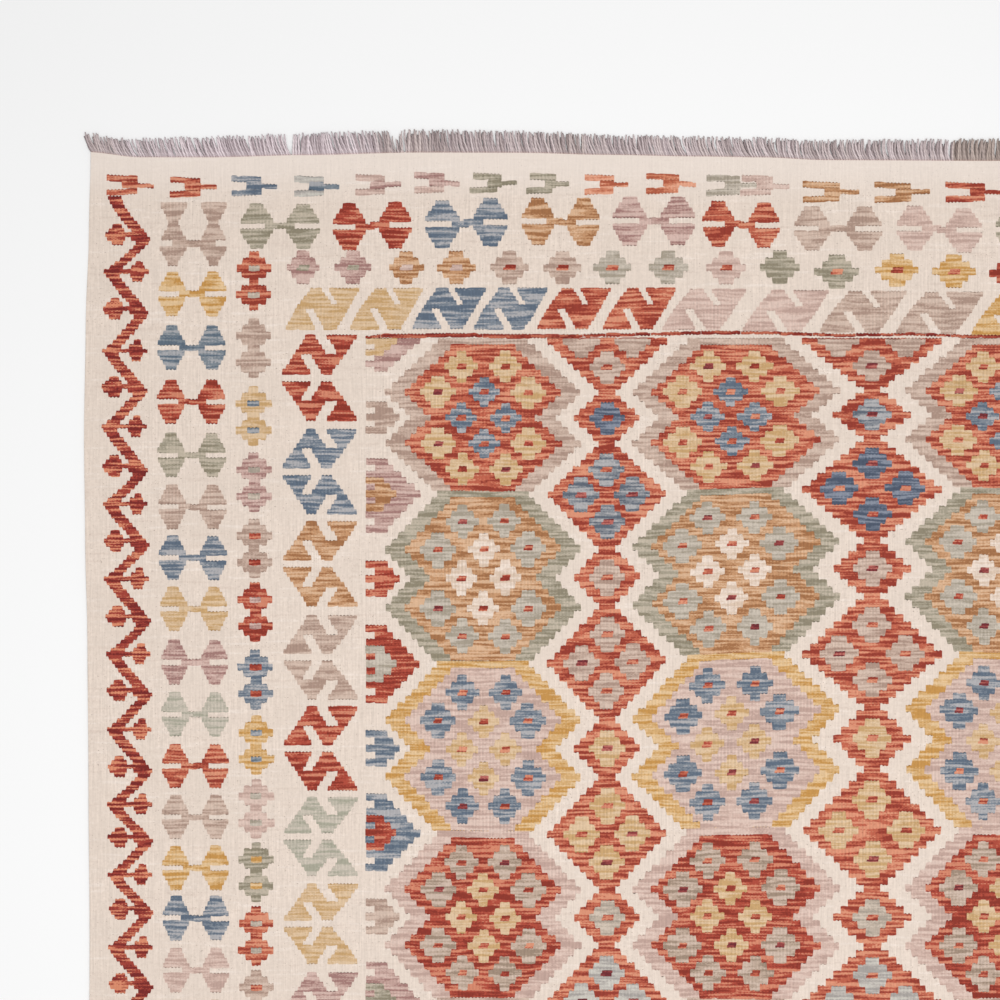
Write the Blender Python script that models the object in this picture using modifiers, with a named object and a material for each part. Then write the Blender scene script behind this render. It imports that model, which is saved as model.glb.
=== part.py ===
"""A flat-woven kilim rug lying flat, face up.

Three pieces: the woven body, and at each end a narrow strip of knotted warp
roots with the locks of the fringe. +X runs across the rug, +Y towards its
head end, +Z up. The origin is on the floor under the rug's middle.
"""
import math
import random
from collections import namedtuple

import bpy

# Driving dimensions, in metres.
BODY_WIDTH = 2.0
BODY_LENGTH = 3.0
CLOTH_THICKNESS = 0.003
RIM_ROUNDING = 0.0007
OUTLINE_STEP = 0.04

# The knotted strip lies just off the body's end, and the locks grow out of it.
STRIP_GAP = 0.0003
STRIP_DEPTH = 0.004
FRINGE_THICKNESS = 0.0022
LOCKS_PER_END = 150
LOCK_ROOT_WIDTH = 0.0088
LOCK_TIP_WIDTH = 0.0046
LENGTH_JITTER = 0.0016
LEAN_JITTER = 0.0008
FRINGE_SEED = 11

WELD_DISTANCE = 0.00005
RIM_ANGLE = math.radians(60)

# How far an edge strays out (+) or in (-) from a straight line.
# along: distance from the edge's first corner. out: the stray there.
EdgePoint = namedtuple("EdgePoint", "along out")
END_EDGE = (
    EdgePoint(0.00, 0.0055),
    EdgePoint(0.06, -0.0010),
    EdgePoint(0.15, -0.0012),
    EdgePoint(0.27, 0.0015),
    EdgePoint(0.42, 0.0048),
    EdgePoint(0.55, 0.0045),
    EdgePoint(0.66, 0.0020),
    EdgePoint(0.78, 0.0000),
    EdgePoint(0.86, -0.0012),
    EdgePoint(0.94, -0.0048),
    EdgePoint(1.17, -0.0058),
    EdgePoint(1.42, -0.0010),
    EdgePoint(1.65, 0.0028),
    EdgePoint(1.85, 0.0005),
    EdgePoint(2.00, 0.0035),
)
SIDE_EDGE = (
    EdgePoint(0.00, -0.0035),
    EdgePoint(0.10, -0.0012),
    EdgePoint(0.22, 0.0030),
    EdgePoint(0.36, 0.0050),
    EdgePoint(0.50, 0.0034),
    EdgePoint(0.62, 0.0006),
    EdgePoint(0.80, -0.0008),
    EdgePoint(1.00, -0.0022),
    EdgePoint(1.40, 0.0010),
    EdgePoint(1.75, 0.0032),
    EdgePoint(2.15, -0.0004),
    EdgePoint(2.55, -0.0026),
    EdgePoint(2.85, 0.0014),
    EdgePoint(3.00, -0.0010),
)

# The set of the locks along an end, counted from the same corner.
# lean: how far a tip lies sideways of its root. reach: root to tip.
LockPoint = namedtuple("LockPoint", "along lean reach")
LOCK_SET = (
    LockPoint(0.00, -0.0100, 0.0185),
    LockPoint(0.05, -0.0085, 0.0195),
    LockPoint(0.14, -0.0050, 0.0205),
    LockPoint(0.24, 0.0005, 0.0240),
    LockPoint(0.34, -0.0010, 0.0235),
    LockPoint(0.39, -0.0045, 0.0190),
    LockPoint(0.45, 0.0015, 0.0240),
    LockPoint(0.60, 0.0005, 0.0235),
    LockPoint(0.80, -0.0010, 0.0215),
    LockPoint(0.92, -0.0045, 0.0220),
    LockPoint(1.17, -0.0050, 0.0230),
    LockPoint(1.45, 0.0010, 0.0235),
    LockPoint(1.70, 0.0040, 0.0225),
    LockPoint(2.00, 0.0080, 0.0195),
)

CREAM_WOOL = (0.74, 0.63, 0.53, 1.0)
LILAC_YARN = (0.45, 0.38, 0.39, 1.0)
WOOL_ROUGHNESS = 0.92


def clear_scene():
    """Remove what the file starts with."""
    for old in list(bpy.data.objects):
        bpy.data.objects.remove(old, do_unlink=True)


def make_material(name, colour):
    """Matt wool of one colour."""
    material = bpy.data.materials.new(name)
    material.use_nodes = True
    shader = material.node_tree.nodes["Principled BSDF"]
    shader.inputs["Base Color"].default_value = colour
    shader.inputs["Roughness"].default_value = WOOL_ROUGHNESS
    shader.inputs["Metallic"].default_value = 0.0
    return material


def read_table(table, along, column):
    """The column's value at a distance, eased between the table's rows."""
    before = table[0]
    for after in table[1:]:
        if along <= after.along:
            share = (along - before.along) / (after.along - before.along)
            ease = share * share * (3.0 - 2.0 * share)
            low = getattr(before, column)
            return low + (getattr(after, column) - low) * ease
        before = after
    return getattr(table[-1], column)


def half_turn(points):
    """The points turned by 180 degrees about the rug's middle."""
    return [(-x, -y) for x, y in points]


def head_edge_point(along, off=0.0):
    """A point of the head end's edge, or one that lies off it by a distance."""
    first_corner = -BODY_WIDTH / 2 - read_table(SIDE_EDGE, 0.0, "out")
    last_corner = BODY_WIDTH / 2 + read_table(SIDE_EDGE, BODY_LENGTH, "out")
    x = first_corner + (last_corner - first_corner) * along / BODY_WIDTH
    y = BODY_LENGTH / 2 + read_table(END_EDGE, along, "out") + off
    return x, y


def left_edge_point(along):
    """A point of the left edge, counted from the head end."""
    first_corner = BODY_LENGTH / 2 + read_table(END_EDGE, 0.0, "out")
    last_corner = -BODY_LENGTH / 2 - read_table(END_EDGE, BODY_WIDTH, "out")
    x = -BODY_WIDTH / 2 - read_table(SIDE_EDGE, along, "out")
    y = first_corner + (last_corner - first_corner) * along / BODY_LENGTH
    return x, y


def steps_along(length):
    """Even distances from one corner up to the next, that one left out."""
    count = round(length / OUTLINE_STEP)
    return [length * step / count for step in range(count)]


def body_outline():
    """The left and foot edges are the right and head ones turned about."""
    left = [left_edge_point(along) for along in steps_along(BODY_LENGTH)]
    head = [head_edge_point(BODY_WIDTH - along) for along in steps_along(BODY_WIDTH)]
    return left + half_turn(head) + half_turn(left) + head


def fringe_outline():
    """A comb: the strip's straight back, then tooth after tooth."""
    draw = random.Random(FRINGE_SEED)
    back = [head_edge_point(along, STRIP_GAP) for along in steps_along(BODY_WIDTH)]
    back.append(head_edge_point(BODY_WIDTH, STRIP_GAP))
    root_off = STRIP_GAP + STRIP_DEPTH
    pitch = BODY_WIDTH / LOCKS_PER_END
    teeth = []
    for lock in range(LOCKS_PER_END):
        middle = (lock + 0.5) * pitch
        lean = read_table(LOCK_SET, middle, "lean") + draw.uniform(-LEAN_JITTER, LEAN_JITTER)
        reach = read_table(LOCK_SET, middle, "reach") + draw.uniform(-LENGTH_JITTER, LENGTH_JITTER)
        root_left = head_edge_point(middle - LOCK_ROOT_WIDTH / 2, root_off)
        root_right = head_edge_point(middle + LOCK_ROOT_WIDTH / 2, root_off)
        tip_x, tip_y = head_edge_point(middle, root_off + reach)
        tip_left = (tip_x + lean - LOCK_TIP_WIDTH / 2, tip_y)
        tip_right = (tip_x + lean + LOCK_TIP_WIDTH / 2, tip_y)
        teeth += [root_left, tip_left, tip_right, root_right]
    first = head_edge_point(0.0, root_off)
    last = head_edge_point(BODY_WIDTH, root_off)
    return back + [last] + teeth[::-1] + [first]


def make_flat_piece(name, outline, thickness, material, collection):
    """A flat piece of an outline and a thickness, lying on the floor."""
    curve = bpy.data.curves.new(name, "CURVE")
    curve.dimensions = "2D"
    curve.fill_mode = "BOTH"
    curve.extrude = thickness / 2
    spline = curve.splines.new("POLY")
    spline.points.add(len(outline) - 1)
    for point, (x, y) in zip(spline.points, outline):
        point.co = (x, y, 0.0, 1.0)
    spline.use_cyclic_u = True
    curve.materials.append(material)
    piece = bpy.data.objects.new(name, curve)
    piece.location.z = thickness / 2
    collection.objects.link(piece)
    return piece


def round_rim(piece):
    """Ease the upper and lower rims of a flat piece."""
    weld = piece.modifiers.new("weld_caps", "WELD")
    weld.merge_threshold = WELD_DISTANCE
    bevel = piece.modifiers.new("soft_rim", "BEVEL")
    bevel.width = RIM_ROUNDING
    bevel.segments = 1
    bevel.limit_method = "ANGLE"
    bevel.angle_limit = RIM_ANGLE


def build_rug():
    """Lay the body on the floor with a fringe at each end."""
    clear_scene()
    collection = bpy.data.collections.new("kilim_rug")
    bpy.context.scene.collection.children.link(collection)
    wool = make_material("cream_wool", CREAM_WOOL)
    yarn = make_material("lilac_yarn", LILAC_YARN)

    body = make_flat_piece("rug_body", body_outline(), CLOTH_THICKNESS, wool, collection)
    round_rim(body)

    head = make_flat_piece("fringe_head_end", fringe_outline(), FRINGE_THICKNESS, yarn, collection)
    foot = bpy.data.objects.new("fringe_foot_end", head.data)
    foot.location = head.location
    foot.rotation_euler.z = math.pi
    collection.objects.link(foot)


build_rug()
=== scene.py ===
import math
import random
from collections import namedtuple

import bpy
import numpy as np
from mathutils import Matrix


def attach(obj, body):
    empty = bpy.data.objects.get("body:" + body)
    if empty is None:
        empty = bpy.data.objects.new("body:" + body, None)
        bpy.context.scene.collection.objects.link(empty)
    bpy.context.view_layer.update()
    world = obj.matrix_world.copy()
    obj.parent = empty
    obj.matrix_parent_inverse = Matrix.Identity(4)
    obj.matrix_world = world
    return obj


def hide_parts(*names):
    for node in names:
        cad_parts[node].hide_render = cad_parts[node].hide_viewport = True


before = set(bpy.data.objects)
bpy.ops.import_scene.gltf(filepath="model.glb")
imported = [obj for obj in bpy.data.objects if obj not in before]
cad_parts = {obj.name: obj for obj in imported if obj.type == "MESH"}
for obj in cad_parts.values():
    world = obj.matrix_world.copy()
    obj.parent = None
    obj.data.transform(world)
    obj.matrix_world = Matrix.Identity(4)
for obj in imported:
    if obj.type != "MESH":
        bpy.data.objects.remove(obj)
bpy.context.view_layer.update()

# ------------ sizes, in millimetres
# The layout is drawn as a weaver's plan: x runs across from the left edge, y down from the
# head end. Weaving.add_point() turns it into the frame's metres.
BODY_WIDTH = 2000.0
BODY_LENGTH = 3000.0
MM = 0.001

WARP = 2.2                # from one warp to the next
CELL = 11 * WARP          # longest stretch of a face across the rug
TOOTH = 0.75              # how far a weft turn strays where a colour starts or ends
HEART_TOOTH = 0.3         # the same in a flower's small heart
TOOTH_ROOM = 0.8          # least room between a weft turn and a span's end
ROW_STRAY = 0.5           # unevenness of a row's height
END_STRAY = 0.7           # and of where a row ends

UNDERSIDE = 0.6           # heights of the plain ground's faces over the floor
UPPER_SIDE = 2.6
LAYER = 0.15              # each level of colour stands this much prouder, on both faces


def table(columns, *rows):
    """Rows of values with named columns."""
    kind = namedtuple("Entry", columns)
    return tuple(kind(*row) for row in rows)


# How far the edges stray from straight lines, as in the model of the body.
# along: from an edge's start. out: how far out it lies.
END_EDGE = table(
    "along out",
    (0, 5.5), (60, -1.0), (150, -1.2), (270, 1.5), (420, 4.8), (550, 4.5), (660, 2.0),
    (780, 0.0), (860, -1.2), (940, -4.8), (1170, -5.8), (1420, -1.0), (1650, 2.8), (1850, 0.5),
    (2000, 3.5),
)
SIDE_EDGE = table(
    "along out",
    (0, -3.5), (100, -1.2), (220, 3.0), (360, 5.0), (500, 3.4), (620, 0.6), (800, -0.8),
    (1000, -2.2), (1400, 1.0), (1750, 3.2), (2150, -0.4), (2550, -2.6), (2850, 1.4),
    (3000, -1.0),
)

# Long, low waves in which the cloth lies, their lengths in metres.
WAVES = table(
    "height across length phase",
    (0.30, 0.90, 1.70, 0.3),
    (0.22, -0.55, 0.80, 1.9),
    (0.16, 0.33, -0.47, 4.0),
)

# ------------ yarns
# Each yarn's tones as sRGB bytes.
TONES = ("dark", "mid", "light")
YARNS = {
    "cream": ((217, 200, 187), (224, 208, 195), (231, 217, 206)),
    "white": ((210, 187, 167), (220, 200, 184), (229, 212, 198)),
    "red": ((135, 47, 34), (168, 70, 53), (203, 128, 101)),
    "vine": ((116, 33, 30), (156, 60, 48), (211, 134, 102)),
    "guard": ((122, 38, 30), (150, 58, 44), (184, 102, 78)),
    "orange": ((144, 54, 40), (183, 93, 70), (211, 141, 112)),
    "apricot": ((171, 88, 62), (201, 126, 96), (221, 159, 131)),
    "maroon": ((106, 36, 42), (142, 62, 60), (182, 104, 94)),
    "blue": ((90, 103, 119), (121, 129, 139), (169, 167, 169)),
    "indigo": ((72, 82, 100), (95, 104, 121), (130, 136, 150)),
    "slate": ((90, 98, 110), (130, 133, 139), (170, 168, 169)),
    "denim": ((90, 104, 118), (121, 130, 138), (161, 161, 164)),
    "sage": ((138, 129, 109), (161, 152, 134), (185, 173, 155)),
    "mint": ((160, 149, 133), (178, 167, 153), (194, 183, 169)),
    "celadon": ((163, 160, 143), (181, 174, 159), (195, 185, 171)),
    "tan": ((157, 107, 69), (189, 142, 104), (210, 172, 139)),
    "gold": ((190, 140, 74), (205, 165, 112), (218, 186, 144)),
    "straw": ((192, 155, 107), (204, 172, 134), (214, 186, 153)),
    "mauve": ((166, 139, 125), (188, 163, 148), (204, 181, 166)),
    "plum": ((157, 118, 112), (185, 152, 143), (205, 176, 166)),
    "pink": ((185, 156, 145), (201, 173, 161), (213, 188, 176)),
    "stone": ((162, 150, 137), (182, 167, 152), (199, 184, 169)),
    "ash": ((160, 154, 149), (180, 173, 166), (194, 189, 180)),
    "oat": ((152, 131, 114), (181, 159, 142), (198, 177, 162)),
}
YARN_NAMES = tuple(YARNS)


def linear(colour):
    """A colour's sRGB bytes as the linear values that shaders take."""
    values = []
    for byte in colour:
        share = byte / 255.0
        low = share / 12.92
        high = ((share + 0.055) / 1.055) ** 2.4
        values.append(low if share <= 0.04045 else high)
    return (*values, 1.0)


def eased(share):
    """A share from 0 to 1 that leaves 0 and reaches 1 gently."""
    return share * share * (3.0 - 2.0 * share)


def read(points, along, column="out"):
    """A column of a table at a distance along it, eased between the table's points."""
    before = points[0]
    for after in points[1:]:
        if along <= after.along:
            share = (along - before.along) / (after.along - before.along)
            low = getattr(before, column)
            return low + (getattr(after, column) - low) * eased(share)
        before = after
    return getattr(points[-1], column)


def lie(x, y):
    """How far the cloth lifts off the floor at places given in metres."""
    lift = np.zeros_like(x)
    for wave in WAVES:
        angle = 2.0 * np.pi * (x / wave.across + y / wave.length) + wave.phase
        lift += wave.height * MM * (1.0 + np.sin(angle))
    return lift


# ------------ woven patches
# A place on a line between rows: its point on the upper face and, where the lower face
# needs one too, its point there.
Station = namedtuple("Station", "x upper lower")
Row = namedtuple("Row", "top bottom spans yarn seed")

SIDE_REACH = 300.0        # as far in as this, the side borders follow the uneven edge
SHIFT_REACH = 600.0       # as far in as this, SIDE_SHIFT moves them
# How far in a side border's motifs lie from their even places, most of all at the edge.
SIDE_SHIFT = table(
    "along out",
    (0.0, 0.0), (300.0, 0.5), (445.0, 2.2), (600.0, 2.9), (700.0, 3.6), (1080.0, 3.6),
    (1500.0, 0.0), (3000.0, 0.0),
)
# Where two rows meet, an end that steps by up to this much leans this share of the way.
LEANS = table("step share", (6.5, 0.16), (9.2, 0.12))


def lean_end(end, beside):
    """An end of a row where it meets the row beside it, whose like ends are given."""
    if beside:
        nearest = min(beside, key=lambda other: abs(other - end))
        for lean in LEANS:
            if abs(nearest - end) <= lean.step:
                return end + lean.share * (nearest - end)
    return end


def lean_spans(spans, beside):
    """A row's spans on the line that it shares with the row beside it."""
    lefts = [left for left, _ in beside]
    rights = [right for _, right in beside]
    return [(lean_end(left, lefts), lean_end(right, rights)) for left, right in spans]


def covers(spans, x):
    """Whether a place across the rug is inside one of the spans."""
    return any(left < x < right for left, right in spans)


def cell_lines(left, right):
    """The lines between cells inside a stretch across the rug."""
    first = math.floor(left / CELL) + 1
    return [step * CELL for step in range(first, math.ceil(right / CELL))]


def part_of(line, left, right):
    """A line's stations from one place across to another."""
    return [station for station in line if left <= station.x <= right]


class Weaving:
    """One family of motifs: stepped patches that go right through the cloth."""

    def __init__(self, name):
        self.name = name
        self.places = []
        self.faces = []
        self.yarns = []
        self.seeds = []
        self.turned = False
        self.beside_edge = False
        self.pivot, self.slope = 0.0, 0.0
        self.drifts = False
        self.wander = ()
        self.draw = random.Random(name)

    def add_point(self, x, y, level, upper):
        """A point of the plan on the upper or the lower face, moved to where it lies."""
        side = UPPER_SIDE + level * LAYER if upper else UNDERSIDE - level * LAYER
        y += (x - self.pivot) * self.slope
        if self.wander:
            y += read(self.wander, y)
        if self.beside_edge:
            x -= read(SIDE_EDGE, y) * max(0.0, 1.0 - x / SIDE_REACH)
            x += read(SIDE_SHIFT, y) * max(0.0, 1.0 - x / SHIFT_REACH)
        x = x - BODY_WIDTH / 2
        y = BODY_LENGTH / 2 - y
        if self.turned:
            x, y = -x, -y
        self.places.append((x * MM, y * MM, side * MM))
        return len(self.places) - 1

    def add_face(self, corners, row):
        """A face in a row's yarn."""
        self.faces.append(corners)
        self.yarns.append(YARN_NAMES.index(row.yarn))
        self.seeds.append(row.seed)

    def weave(self, rows, level, tooth):
        """Weave rows that lie next to each other, from the head end down."""
        spans = [row.spans for row in rows]
        heads = [lean_spans(*pair) for pair in zip(spans, [[], *spans])] + [[]]
        feet = [[]] + [lean_spans(*pair) for pair in zip(spans, [*spans[1:], []])]
        edges = [rows[0].top] + [row.bottom for row in rows]
        lines = [self.lay_line(y, above, below, level, tooth)
                 for y, above, below in zip(edges, feet, heads)]
        for number, row in enumerate(rows):
            for head, foot in zip(heads[number], feet[number + 1]):
                self.fill_span(lines[number], lines[number + 1], head, foot, row)
        for number, line in enumerate(lines):
            self.wall_line(line, feet[number], heads[number],
                           rows[max(number - 1, 0)], rows[min(number, len(rows) - 1)])

    def lay_line(self, y, above, below, level, tooth):
        """The stations on the line between two rows: ends, cell lines and weft turns."""
        cuts = {end for span in above + below for end in span}
        for left, right in above + below:
            cuts.update(cell_lines(left, right))
        ordered = sorted(cuts)
        strays = dict.fromkeys(ordered, 0.0)
        for left, right in zip(ordered, ordered[1:]):
            middle = (left + right) / 2
            if covers(above, middle) == covers(below, middle):
                continue
            first = math.ceil((left + TOOTH_ROOM) / WARP)
            last = math.floor((right - TOOTH_ROOM) / WARP)
            for warp in range(first, last + 1):
                strays[warp * WARP] = tooth if warp % 2 else -tooth
        line = []
        for x in sorted(strays):
            upper = self.add_point(x, y + strays[x], level, True)
            lower = self.add_point(x, y, level, False) if x in cuts else None
            line.append(Station(x, upper, lower))
        return line

    def fill_span(self, top_line, bottom_line, head, foot, row):
        """The faces of one row's span, above and below, and its two end walls. Its ends
        are given at the head, on its top line, and at the foot, on its bottom line."""
        inner = cell_lines(max(head[0], foot[0]), min(head[1], foot[1]))
        top_cuts = [head[0], *inner, head[1]]
        bottom_cuts = [foot[0], *inner, foot[1]]
        for cell in range(len(inner) + 1):
            top = part_of(top_line, *top_cuts[cell:cell + 2])
            bottom = part_of(bottom_line, *bottom_cuts[cell:cell + 2])
            ring = bottom + top[::-1]
            under = [station.lower for station in reversed(ring) if station.lower is not None]
            self.add_face([station.upper for station in ring], row)
            self.add_face(under, row)
            if cell == 0:
                self.end_wall(top[0], bottom[0], row)
            if cell == len(inner):
                self.end_wall(bottom[-1], top[-1], row)

    def end_wall(self, first, second, row):
        """The wall that closes a row between two stations, one on each of its lines."""
        self.add_face([first.lower, second.lower, second.upper, first.upper], row)

    def wall_line(self, line, above, below, row_above, row_below):
        """The walls that face the head or foot end where a step shows."""
        ends = [number for number, station in enumerate(line) if station.lower is not None]
        for first, last in zip(ends, ends[1:]):
            middle = (line[first].x + line[last].x) / 2
            is_above = covers(above, middle)
            is_below = covers(below, middle)
            if is_above == is_below:
                continue
            rim = [station.upper for station in line[first:last + 1]]
            wall = [line[first].lower, *rim, line[last].lower]
            if is_below:
                self.add_face(wall, row_below)
            else:
                self.add_face(wall[::-1], row_above)

    def stack(self, x, y, heights, spans, yarns, level, slope=0.0, tooth=TOOTH):
        """Weave rows of given heights and spans down from a point, a little unevenly.
        The yarns are one name for all the rows or a name for each. The level says how many
        layers prouder than the ground they are."""
        if isinstance(yarns, str):
            yarns = [yarns] * len(heights)
        self.pivot, self.slope = x, slope
        rows = []
        stray = self.draw.uniform
        top = y + stray(-ROW_STRAY, ROW_STRAY)
        seed, last_yarn = 0.0, None
        for height, row_spans, yarn in zip(heights, spans, yarns):
            if yarn != last_yarn:
                seed, last_yarn = self.draw.random(), yarn
            y += height
            bottom = y + stray(-ROW_STRAY, ROW_STRAY)
            moved = [(x + left + stray(-END_STRAY, END_STRAY),
                      x + right + stray(-END_STRAY, END_STRAY)) for left, right in row_spans]
            rows.append(Row(top, bottom, moved, yarn, seed))
            top = bottom
        self.weave(rows, level, tooth)

    def make(self, material):
        """Turn what is gathered into one mesh object."""
        places = np.array(self.places)
        if self.drifts:
            places[:, 1] -= drift(places[:, 0], places[:, 1])
        places[:, 2] += lie(places[:, 0], places[:, 1])
        return make_object(self.name, places, self.faces, self.yarns, self.seeds, material)


# The field's wefts were not beaten down evenly, so its lines rise and fall. down: from the
# head end. strays: how far down a line is off at each of the places across, which are
# counted from either long edge.
DRIFT_ACROSS = (354.5, 504.8, 565.0, 661.9, 700.0, 826.3, 1000.0)
DRIFT = table(
    "down strays",
    (233.2, (0.0, 0.0, 0.0, 0.0, 0.0, 0.0, 0.0)),
    (428.2, (-2.0, 0.0, 0.2, 0.5, -0.5, -4.0, -9.3)),
    (505.0, (-1.8, -4.0, -6.0, -2.5, -6.0, -10.5, -14.0)),
    (577.0, (-1.5, 1.5, 0.5, -2.5, -3.5, -14.0, -15.0)),
    (644.8, (-1.3, 0.0, -1.1, -2.8, -4.0, -11.0, -15.0)),
    (722.0, (-1.8, 0.0, -0.8, -2.0, -2.5, -11.0, -19.0)),
    (795.0, (-2.4, 0.0, -0.4, -1.0, -1.9, -8.0, -11.5)),
    (861.4, (-2.9, 0.0, 0.0, 0.0, -1.0, -4.5, -6.0)),
    (1074.2, (-1.0, 0.0, -0.2, -0.6, -0.5, -0.2, 4.0)),
    (1330.0, (0.0, 0.0, 0.0, 0.0, 0.0, 0.0, 0.0)),
    (1800.0, (1.5, 0.0, -0.4, -1.0, 0.0, 3.0, 6.0)),
    (2300.0, (-1.0, 0.0, 0.6, 1.5, 0.5, -2.0, -5.0)),
    (2758.7, (0.0, 0.0, 0.0, 0.0, 0.0, 0.0, 0.0)),
)


def drift(x, y):
    """How far down the field's lines are off, in metres, at places given in metres."""
    across = BODY_WIDTH / 2 - np.abs(x) / MM
    down = BODY_LENGTH / 2 - y / MM
    strays = np.zeros_like(x)
    for before, after in zip(DRIFT, DRIFT[1:]):
        share = (down - before.down) / (after.down - before.down)
        low = np.interp(across, DRIFT_ACROSS, before.strays)
        high = np.interp(across, DRIFT_ACROSS, after.strays)
        inside = (share >= 0.0) & (share < 1.0)
        strays = np.where(inside, low + (high - low) * share, strays)
    return strays * MM


def make_object(name, places, faces, yarns, seeds, material):
    """A mesh with its yarn colours on its faces and its plan as its map."""
    mesh = bpy.data.meshes.new(name)
    mesh.from_pydata(places.tolist(), [], faces)
    tones = np.array([[linear(tone) for tone in YARNS[yarn]] for yarn in YARN_NAMES])
    chosen = tones[np.array(yarns)]
    for column, tone in enumerate(TONES):
        layer = mesh.attributes.new(f"yarn_{tone}", "FLOAT_COLOR", "FACE")
        layer.data.foreach_set("color", chosen[:, column].ravel())
    layer = mesh.attributes.new("seed", "FLOAT", "FACE")
    layer.data.foreach_set("value", np.array(seeds))
    add_plan_map(mesh, places)
    mesh.materials.append(material)
    return add_object(name, mesh)


def add_object(name, data):
    """An object in the scene for a mesh, a lamp or a camera."""
    piece = bpy.data.objects.new(name, data)
    bpy.context.scene.collection.objects.link(piece)
    return piece


PLAN_MARGIN = 40.0        # room round the body in its map


def add_plan_map(mesh, places):
    """Map every face by its place on the rug, so both faces of the cloth match."""
    corners = np.empty(len(mesh.loops), dtype=np.int32)
    mesh.loops.foreach_get("vertex_index", corners)
    width = (BODY_WIDTH + 2 * PLAN_MARGIN) * MM
    length = (BODY_LENGTH + 2 * PLAN_MARGIN) * MM
    plan = places[corners, :2] / (width, length) + 0.5
    layer = mesh.uv_layers.new(name="OFBake")
    layer.uv.foreach_set("vector", plan.ravel())


# ------------ motif charts
def centred(*half_widths):
    """Rows of one span each, centred, from their half widths."""
    return [[(-half, half)] for half in half_widths]


# The hook motif, in warp pairs across and rows down: the side borders' and the ends'.
HOOK_WIDTH = 23.5         # in warp pairs
SIDE_HOOK = (
    [(7.4, 10.5), (13.9, 23.4)],
    [(6.4, 11.4), (15.1, 22.4)],
    [(5.4, 12.5), (16.2, 21.4)],
    [(4.3, 13.5), (17.1, 20.3)],
    [(3.4, 6.1), (9.1, 19.2)],
    [(2.3, 7.0), (10.2, 18.0)],
    [(1.2, 7.9), (11.1, 16.8)],
    [(0.0, 8.9), (12.1, 15.6)],
)
END_HOOK = (
    [(7.7, 11.5), (13.7, 23.5)],
    [(6.6, 12.4), (14.5, 22.7)],
    [(5.6, 13.3), (15.3, 21.9)],
    [(4.6, 14.3), (16.2, 21.2)],
    [(3.6, 20.5)],
    [(2.8, 6.4), (8.8, 19.7)],
    [(2.0, 7.2), (9.7, 18.9)],
    [(1.3, 7.9), (10.5, 18.1)],
    [(0.6, 8.6), (11.2, 17.2)],
    [(0.0, 9.3), (12.0, 16.2)],
)


def weave_hook(cloth, x, y, width, height, yarn, chart):
    """One hook, its chart's pairs and rows scaled to a width and a height."""
    pair = width / HOOK_WIDTH
    spans = [[(left * pair, right * pair) for left, right in row] for row in chart]
    cloth.stack(x, y, [height / len(chart)] * len(chart), spans, yarn, 1)


# A dumbbell: two lobes joined by a bar, each lobe slit open from its outer side.
LOBE = (0.415, 0.62, 0.82, 1.0)
BAR_INSET = (0.36, 0.58)  # where a slit ends, as a share of the lobe's half width
BAR_OVERLAP = 3.0         # how far the bar's two halves reach past the middle
BAR_HEIGHT = 1.15         # in rows
LEFT_LEVEL = 1.0          # the halves overlap, so one is a little prouder
RIGHT_LEVEL = 1.3


def weave_dumbbell(cloth, x, y, yarn, size, reach, row, lift=0.0):
    """Two lobes, reach apart. The right lobe lies higher than the left one by the lift."""
    bar = row * BAR_HEIGHT
    heights = [row] * len(LOBE) + [bar] + [row] * len(LOBE)
    for side, level in ((-1, LEFT_LEVEL), (1, RIGHT_LEVEL)):
        centre = side * reach / 2
        half = [[(centre - share * size, centre + share * size)] for share in LOBE]
        slit = centre - side * cloth.draw.uniform(*BAR_INSET) * size
        middle = tuple(sorted((-side * BAR_OVERLAP, slit)))
        top = y - side * lift / 2 - row * len(LOBE) - bar / 2
        cloth.stack(x, top, heights, half + [[middle]] + half[::-1], yarn, level)


HEART_SLANT = 2.4         # how far right of its lower row a heart's upper row starts
HEART_STEP = 0.6          # and ends


def weave_flower(cloth, x, y, halves, row, yarn, heart, level, heart_size):
    """A stepped flower of five rows with a small heart of another colour."""
    stub, middle, wide = halves
    spans = centred(stub, middle, wide, middle, stub)
    cloth.stack(x, y - row * len(spans) / 2, [row] * len(spans), spans, yarn, level)
    if heart:
        width, height = heart_size
        spans = [[(-width / 2 + HEART_SLANT, width / 2)], [(-width / 2, width / 2 - HEART_STEP)]]
        cloth.stack(x, y - height / 2, [height / 2] * 2, spans, heart, level + 1,
                    tooth=HEART_TOOTH)


# ------------ left and right borders
VINE_X = 20.0             # the band's left side
VINE_PAIR = 4.25          # width of a warp pair in it
VINE_ROW = 5.29           # and height of a row
VINE_TOP = 51.6
VINE_END = 2946.0
# One wave of the vine in warp pairs: the turn at the right, down to the turn at the left
# and back. Each turn has a bud on a stem inside it.
VINE = (
    [(0.8, 6.3), (8.0, 14.0)],
    [(2.2, 5.5), (9.5, 13.3)],
    [(8.5, 12.2)],
    [(7.2, 10.9)],
    [(5.9, 9.7)],
    [(4.6, 8.4)],
    [(3.2, 7.1), (9.7, 11.8)],
    [(1.7, 5.8), (8.2, 12.2)],
    [(0.0, 13.8)],
    [(0.9, 5.0), (8.1, 12.1)],
    [(1.8, 5.7), (8.9, 11.7)],
    [(2.7, 6.8)],
    [(3.7, 7.8)],
    [(4.7, 8.8)],
    [(5.8, 9.9)],
    [(2.5, 5.2), (6.9, 10.9)],
    [(1.3, 6.1), (8.0, 11.9)],
    [(0.1, 12.8)],
)
VINE_START = (
    [(0.9, 5.0)],
    [(1.4, 5.4)],
    [(2.1, 6.0)],
)
VINE_FIRST = 11           # the wave's row that comes after the start
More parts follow.
